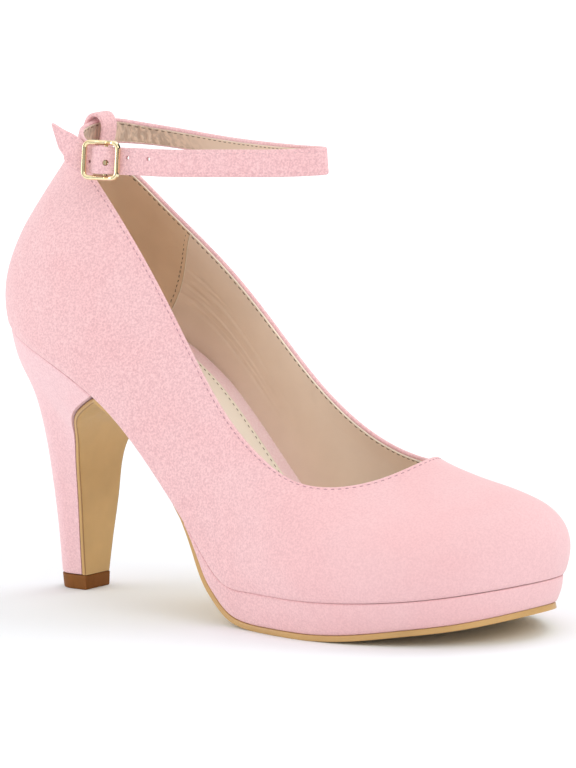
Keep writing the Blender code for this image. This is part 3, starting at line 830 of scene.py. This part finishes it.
BUCKLE = np.array([36.0, -21.0, 151.3])
AXIS_S = unit(np.array([0.97, 0.22, -0.01]))
AXIS_N = unit(np.cross(AXIS_S, unit(np.array([0, 0.16, 1.0]))))
AXIS_W = np.cross(AXIS_N, AXIS_S)
BAR_N, BAR_R = -1.8, 0.7
FOLD_R = 1.45  # middle of the strap where it folds round the bar
PRONG_W = -0.8
CUT_TOP, CUT_LOW, CUT_CORNER = 2.0, 4.2, 2.3  # slant of the strap's cut end, and its rounded corner
CUT_CORNER_LENGTH = 12
TAIL = 47  # length of the layer that lies on top at the buckle
STITCHED = (16, 2.5)  # stitches start this far from the fold and stop this far from the cut end
HOLES = ((-4.8, -0.6, 0.62), (2.05, PRONG_W, 1.0), (9.4, 1.2, 0.72), (17.7, 1.1, 0.72))  # s, w, radius
GATHERS = (  # place along the strap, slant, depth
    (45.0, 0.5, 0.5), (46.9, -0.3, 0.8), (49.0, 0.4, 1.0), (51.2, 0.1, 0.7), (53.3, -0.4, 1.0),
    (55.6, 0.3, 0.9), (57.8, 0.5, 0.6), (60.4, -0.2, 0.8), (63.5, 0.3, 0.5), (67.0, 0.2, 0.3),
)
LOOP_Y, LOOP_HALF, LOOP_THICK = -0.8, 3.6, 1.4  # back loop: its middle, half its width, its thickness


def at_buckle(s, n, w=0.0):
    return BUCKLE + AXIS_S * s + AXIS_N * n + AXIS_W * w


def strap_path(step):
    """Middle line of the strap from its fold to its cut end.

    Gives the distance along it, its points, the directions along, across and outward, its
    thickness, and how far the slant and the rounded corner of the cut end reach.
    """
    fold = [(-3.6, -1.1), (-1.6, -0.45), (0.0, BAR_N + FOLD_R)]
    fold += [(FOLD_R * np.sin(a), BAR_N + FOLD_R * np.cos(a)) for a in np.radians([35, 70, 105, 140])]
    fold += [(0.0, BAR_N - FOLD_R), (-1.8, -3.15), (-4.2, -2.95)]
    rows = [(*at_buckle(s, n), 9, 1.0) for s, n in fold]
    rows += [  # x, y, z, lean in degrees, thickness
        (27.0, -19.6, 152.6, 8, 1.5), (22.2, -17.0, 154.2, 10, BELT), (18.0, -12.6, 155.8, 14, BELT),
        (15.7, -7.2, 156.6, 15, BELT), (15.6, -1.6, 157.3, 15, BELT), (17.5, 4.4, 157.4, 19, BELT),
        (22.9, 10.0, 156.5, 29, BELT), (34.0, 14.8, 155.0, 35, BELT), (57.4, 16.6, 152.8, 35, BELT),
        (83.0, 11.9, 152.4, 32, BELT), (102.8, 6.8, 152.5, 20, BELT), (111.6, 4.0, 152.7, 8, BELT),
        (114.6, 1.2, 152.8, 0, BELT), (112.0, -1.6, 152.7, 2, BELT), (97.0, -6.2, 151.9, 8, BELT),
        (78.5, -11.4, 151.5, 10, BELT), (58.5, -16.4, 151.1, 10, BELT),
    ]
    run = [(15, 0), (10, -0.4), (6.5, -0.5), (4.8, -0.3), (2.4, 1.0), (0, 1.6), (-2.4, 1.0), (-4.8, -0.3)]
    run += [(-6.5, -0.5), (-8.2, -0.5)]
    rows += [(*at_buckle(s, n), 9, BELT) for s, n in run]
    rows += [(24.0, -23.0, 154.5, 14, BELT), (20.0, -22.9, 156.2, 6, BELT), (15.6, -22.6, 158.0, -4, BELT)]
    rows = np.array(rows)
    key = lengths(rows[:, :3])
    at = np.linspace(0, key[-1], int(key[-1] / step))
    path = natural_spline(np.column_stack([key, rows]), at)
    mid, lean, thick = path[:, :3], np.radians(path[:, 3]), path[:, 4]
    t = unit(np.gradient(mid, axis=0))
    level = unit(np.column_stack([-t[:, 1], t[:, 0], np.zeros(len(t))]))
    across = np.outer(np.cos(lean), (0, 0, 1)) - level * np.sin(lean)[:, None]
    free = np.clip((at - key[len(fold) - 1]) / 6.0, 0, 1)[:, None]
    across = AXIS_W * (1 - free) + across * free
    across = unit(across - t * (across * t).sum(1)[:, None])
    slant = np.interp(at[-1] - at, [0, 1.84, 3.68, 5.52, 7.36, 9.2], [1, 0.66, 0.38, 0.18, 0.06, 0])
    corner = CUT_CORNER * ease(1 - (at[-1] - at) / CUT_CORNER_LENGTH)
    return at, mid, t, across, unit(np.cross(across, t)), thick, slant, corner


def on_band(frames, across, out):
    """Points of the band at shares of half its width and half its thickness."""
    _, mid, t, w, n, thick, slant, corner = frames
    along = np.interp(across, [-1, 1], [-CUT_LOW, CUT_TOP]) * slant
    over = across * BAND / 2 + corner * (1 - across) / 2
    return mid + w * over[:, None] + n * (out * thick / 2)[:, None] + t * along[:, None]


def band_rows(frames, section):
    return np.swapaxes([on_band(frames, a, b) for a, b in section], 0, 1)


def cut_holes(obj, cutters):
    for cutter in cutters:
        modifier = obj.modifiers.new(cutter.name, "BOOLEAN")
        modifier.operation, modifier.object, modifier.solver = "DIFFERENCE", cutter, "EXACT"
    graph = bpy.context.evaluated_depsgraph_get()
    mesh = bpy.data.meshes.new_from_object(obj.evaluated_get(graph))
    obj.modifiers.clear()
    obj.data = mesh
    mesh.shade_smooth()
    mesh.set_sharp_from_angle(angle=SHARP)


def rod(start, end, radius):
    axis = unit(end - start)
    a = unit(np.cross(axis, (0.3, 0.2, 0.93)))
    b = np.cross(axis, a)
    turn = np.linspace(0, 2 * np.pi, 24, endpoint=False)
    ring = np.array([a * np.cos(k) * radius + b * np.sin(k) * radius for k in turn])
    return np.array([ring + start, ring + end])


def strip(grid):
    """Closed band through rows of points, with each end filled by one face."""
    points, faces = skin(grid, ends=False)
    n, m = grid.shape[:2]
    return points, faces + [list(range(m))[::-1], [(n - 1) * m + j for j in range(m)]]


def punches(at, mid):
    """A cutter for each hole, through the top layer of the strap only."""
    cutters = []
    tail = mid[at > at[-1] - TAIL]
    for i, (s, side, r) in enumerate(HOLES):
        spot = tail[np.linalg.norm(tail - at_buckle(s, 0), axis=1).argmin()] - BUCKLE
        depth, up = spot.dot(AXIS_N), side + spot.dot(AXIS_W)
        hole = rod(at_buckle(s, depth - 1.3, up), at_buckle(s, depth + 2.5, up), r)
        cutters.append(put_in_scene(f"punch{i}", closed_mesh(f"punch{i}", *skin(hole))))
    return cutters


def make_strap():
    """The suede strap with a hollow for its lining, its holes and its four rows of stitches."""
    frames = strap_path(0.7)
    at, mid = frames[:2]
    edge = [(0.9 + 0.1 * np.sin(a), 0.94 * np.cos(a)) for a in np.linspace(0, np.pi, 9)]
    face = [(a, 1 - 0.06 * abs(a) ** 6) for a in np.linspace(-0.84, 0.84, 9)]
    hollow = [(0.86, -0.9)] + [(a, -0.62) for a in (0.84, 0.4, 0.0, -0.4, -0.84)] + [(-0.86, -0.9)]
    section = face + edge + hollow + [(-a, b) for a, b in edge[::-1]]
    points, faces = strip(band_rows(frames, section))
    strap = mesh_of("strap_suede", points, faces, [strap_nap], replaced=["strap"], slot="strap_suede")
    cutters = punches(at, mid)
    cut_holes(strap, cutters)
    cut_holes(make_strap_lining(), cutters)
    for c in cutters:
        bpy.data.objects.remove(c)
    kept = [f[(at > STITCHED[0]) & (at < at[-1] - STITCHED[1])] for f in frames]
    n = kept[4]
    for name, side, inner in (("upper", 1, brown_thread), ("lower", -1, tan_thread)):
        share = side * (1 - EDGE_SEAM / (BAND / 2))
        line = on_band(kept, share, 1) - n * SUNK
        stitches(f"strap_stitches_{name}", line, n, strap_thread, thick=0.3)
        share = side * (1 - (EDGE_SEAM + 0.3) / (BAND / 2))
        stitches(f"strap_inner_stitches_{name}", on_band(kept, share, -1), -n, inner, thick=0.3)


def make_strap_lining():
    """The lining in the hollow of the strap, gathered by the back loop, with pale edges."""
    frames = strap_path(0.4)
    at = frames[0]
    rows = []
    for a in np.linspace(0.78, -0.78, 13):
        pull = np.zeros(len(at))
        for place, lean, depth in GATHERS:
            pull += depth * bell(at, place + lean * 2 * a, 0.55)
        rows.append(on_band(frames, a, -1.0 + 0.32 * np.minimum(pull, 1.1) * (1 - 0.5 * a * a)))
    low = [on_band(frames, a, b) for a, b in ((0.8, -0.5), (0.82, -0.7), (0.81, -0.9))]
    high = [on_band(frames, a, b) for a, b in ((-0.81, -0.9), (-0.82, -0.7), (-0.8, -0.5), (0.0, -0.5))]
    points, faces = strip(np.swapaxes(low + rows + high, 0, 1))
    count = len(low + rows + high)
    row = np.arange(len(faces)) % count
    pale = (row < len(low)) | ((row >= len(low + rows) - 1) & (row < count - 1))
    looks = [strap_leather_painted_shade, cream_edge]
    return mesh_of("strap_lining", points, faces, looks, pale.astype(int), slot="strap_suede")


def make_back_loop():
    rows = np.array([  # x, z
        (5.0, 134.0), (7.8, 140.0), (10.8, 148.0), (12.3, 155.0), (13.2, 160.4), (15.4, 163.2),
        (18.7, 163.6), (20.7, 161.2), (20.4, 157.0), (19.0, 152.9), (16.9, 150.4), (13.5, 149.7),
    ])
    path = np.insert(smooth(rows, 90), 1, LOOP_Y, axis=1)
    t = unit(np.gradient(path, axis=0))
    across = np.array([0, 1.0, 0])
    n = unit(np.cross(across, t))
    half, flat, thin = LOOP_HALF, LOOP_HALF - 0.5, LOOP_THICK / 2
    edge = [(half - 0.45 + 0.45 * np.sin(a), thin * 0.94 * np.cos(a)) for a in np.linspace(0, np.pi, 9)]
    section = [(a, thin * (1 - 0.05 * abs(a / half) ** 4)) for a in np.linspace(-flat, flat, 8)]
    section += edge + [(a, -thin) for a in np.linspace(flat, -flat, 6)[1:-1]]
    section += [(-a, b) for a, b in edge[::-1]]
    grid = np.swapaxes([path + across * a + n * b for a, b in section], 0, 1)
    mesh_of("loop_band", *strip(grid), [strap_nap], replaced=["back_loop"], slot="loop_suede")


FRAME_LONGER = 0.5  # the frame reaches this much further along the strap than across it, each way
FRAME_N, FRAME_ARCH = -0.9, 2.5  # its middle at the bar, and how far its ends stand out from there
WIRE = (0.8, 0.82)  # half its thickness, in its plane and across it


def blunt(a, power):
    """Cosine and sine of a, pushed by the power from a round section towards a square one."""
    c, s = np.cos(a), np.sin(a)
    return np.sign(c) * abs(c) ** power, np.sign(s) * abs(s) ** power


def make_buckle_frame():
    """A square of blunt wire with round corners, arched over the strap, and its straight bar."""
    half, corner, path = 5.9, 2.0, []
    runs = (  # corner, its first angle, way to the next corner
        (1, 1, 0, (-1, 0)), (-1, 1, 90, (0, -1)), (-1, -1, 180, (1, 0)), (1, -1, 270, (0, 1)),
    )
    for cs, cw, turn, step in runs:
        for a in np.radians(turn + np.linspace(0, 90, 14)):
            s, w = cs * (half - corner), cw * (half - corner)
            path.append((s + corner * np.cos(a), w + corner * np.sin(a)))
        s, w = path[-1]
        for k in np.linspace(0, 1, 14)[1:-1]:
            path.append((s + step[0] * k * 2 * (half - corner), w + step[1] * k * 2 * (half - corner)))
    path = np.array([(s + np.clip(s, -0.6, 0.6) / 0.6 * FRAME_LONGER, w) for s, w in path])
    arch = FRAME_ARCH * ease((abs(path[:, 0]) - 0.3) / 4.7)
    path = np.array([at_buckle(s, FRAME_N + n, w) for (s, w), n in zip(path, arch)])
    t = unit(np.roll(path, -1, 0) - np.roll(path, 1, 0))
    out = unit(path - BUCKLE)
    out = unit(out - t * (out * t).sum(1)[:, None])
    up = np.cross(t, out)
    ring = []
    for a in np.linspace(0, 2 * np.pi, 24, endpoint=False):
        c, s = blunt(a, 0.75)
        ring.append(path + out * WIRE[0] * c + up * WIRE[1] * s)
    points, faces = skin(np.swapaxes(ring, 0, 1), turn=True)
    mesh_of("buckle_frame_gilt", points, faces, [gold], replaced=["buckle_frame"], slot="frame_gilt")
    bar = rod(at_buckle(0, BAR_N, -half), at_buckle(0, BAR_N, half), BAR_R)
    mesh_of("buckle_bar", *skin(bar), [gold], slot="frame_gilt")


def make_buckle_prong():
    """An eye round the bar, and a stem that bends out through its hole and widens to the tip."""
    eye = [(1.3 * np.cos(a), BAR_N + 1.3 * np.sin(a)) for a in np.radians(np.arange(140, 376, 6))]
    stem = [(1.6, -1.0), (1.85, 0.0), (2.0, 1.0), (2.1, 2.6)]
    path = smooth(np.array([at_buckle(s, n, PRONG_W) for s, n in eye + stem]), 60)
    t = unit(np.gradient(path, axis=0))
    n = unit(np.cross(AXIS_W, t))
    tip = ease((np.arange(len(path)) - 46) / 8)[:, None]
    wide, thick, ring = 0.55 + 0.2 * tip, 0.34 + 0.2 * tip, []
    for a in np.linspace(0, 2 * np.pi, 16, endpoint=False):
        c, s = blunt(a, 0.7)
        ring.append(path + AXIS_W * wide * c + n * thick * s)
    points, faces = skin(np.swapaxes(ring, 0, 1))
    mesh_of("buckle_prong_gilt", points, faces, [gold], replaced=["buckle_prong"], slot="prong_gilt")


# Studio

CARD_SIDE = (0.76, 0.65, 0.0)  # side on which a dark card shows in the metal only
CARD = (0.03, 0.02, 0.01)
WHITE = (1.0, 1.0, 1.0)
FLOOR = (0.905, 0.945, 0.97)  # a trace cool, against the warm light off the shoe
FLOOR_RADIUS = 14.0
LIT = (0.09, 0.0, 0.07)  # the lamps are turned to this point
LAMPS = (  # name, place, width, watts
    ("above", (0.5, 1.3, 2.4), 1.6, 14),
    ("toe", (2.3, -0.5, 1.5), 1.2, 12),
    ("heel", (-2.2, -1.3, 0.5), 1.5, 18),
)


def make_floor():
    """White floor that shines more with distance, so that only the shadow shows."""
    turn = np.linspace(0, 2 * np.pi, 96, endpoint=False)
    mesh = bpy.data.meshes.new("floor")
    ring = [(FLOOR_RADIUS * np.cos(a), FLOOR_RADIUS * np.sin(a), 0.0) for a in turn]
    mesh.from_pydata(ring, [], [list(range(len(ring)))])
    mat, tree, shader = shaded("floor", 0.9, specular=0.1)
    place = add(tree, "ShaderNodeTexCoord").outputs["Object"]
    distance = calc(tree, "LENGTH", place, kind="ShaderNodeVectorMath")
    side = calc(tree, "DOT_PRODUCT", place, CARD_SIDE, kind="ShaderNodeVectorMath")
    glossy = add(tree, "ShaderNodeLightPath").outputs["Is Glossy Ray"]
    mirrored = product(tree, glossy, spread(tree, side, 0.3, 0.45))
    fill(tree, shader, Base_Color=mix(tree, mirrored, FLOOR, CARD))
    fill(tree, shader, Emission_Color=mix(tree, mirrored, WHITE, CARD))
    fill(tree, shader, Emission_Strength=spread(tree, distance, 0.2, 0.9, 0.0, 0.2))
    mesh.materials.append(mat)
    floor = put_in_scene("floor", mesh)


def add_lamp(name, place, width, watts):
    data = bpy.data.lights.new(name, "AREA")
    data.shape, data.size, data.energy = "DISK", width, watts
    lamp = put_in_scene(name, data)
    lamp.location = place
    lamp.rotation_euler = (Vector(LIT) - Vector(place)).to_track_quat("-Z", "Y").to_euler()


def make_studio():
    """White surroundings, greyer for the light on the shoe and with a gradient for its metal."""
    world = bpy.data.worlds.new("studio")
    bpy.context.scene.world = world
    world.use_nodes = True
    tree = world.node_tree
    rays = tree.nodes.new("ShaderNodeLightPath")
    place = add(tree, "ShaderNodeTexCoord").outputs["Generated"]
    side = calc(tree, "DOT_PRODUCT", place, CARD_SIDE, kind="ShaderNodeVectorMath")
    card = spread(tree, side, 0.45, 0.6, 1.0, 0.03)
    height = coordinate(tree, "Z", "Generated")
    dim = product(tree, spread(tree, height, 0.05, 0.5, 0.3, 1.1), card)
    seen = mix(tree, rays.outputs["Is Glossy Ray"], (0.93, 0.93, 0.93), dim)
    seen = mix(tree, rays.outputs["Is Camera Ray"], seen, WHITE)
    fill(tree, tree.nodes["Background"], Color=seen)
    for lamp in LAMPS:
        add_lamp(*lamp)
    bpy.context.scene.view_settings.view_transform = "Standard"


# The view of the photo: azimuth and elevation of the camera, its roll, its distance and its lens
AZIMUTH, ELEVATION, ROLL = np.radians([41.0, 8.8, -2.0])
DISTANCE = 2571.1
AIM = (88.8, 0.0, 80.0)
SHIFT_RIGHT, SHIFT_UP = 5.6, -3.6
FOCAL_PX, PHOTO_HEIGHT = 7710.3, 768
SENSOR = 36.0


def make_camera():
    a, e, r = AZIMUTH, ELEVATION, ROLL
    back = np.array([np.sin(a) * np.cos(e), -np.cos(a) * np.cos(e), np.sin(e)])
    right = np.array([np.cos(a), np.sin(a), 0.0])
    up = np.cross(back, right)
    place = np.array(AIM) + right * SHIFT_RIGHT + up * SHIFT_UP + back * DISTANCE
    x = right * np.cos(r) + up * np.sin(r)
    y = up * np.cos(r) - right * np.sin(r)
    data = bpy.data.cameras.new("camera")
    data.sensor_width, data.sensor_fit, data.lens = SENSOR, "AUTO", FOCAL_PX * SENSOR / PHOTO_HEIGHT
    data.clip_start, data.clip_end = 0.1, 100.0
    camera = put_in_scene("camera", data)
    columns = np.column_stack([x, y, back, place * MM])
    camera.matrix_world = Matrix([*columns.tolist(), [0, 0, 0, 1]])
    bpy.context.scene.camera = camera


make_upper()
make_lining()
make_insole()
make_outsole()
make_platform()
make_heel()
make_strap()
make_back_loop()
make_buckle_frame()
make_buckle_prong()
make_floor()
make_studio()
make_camera()
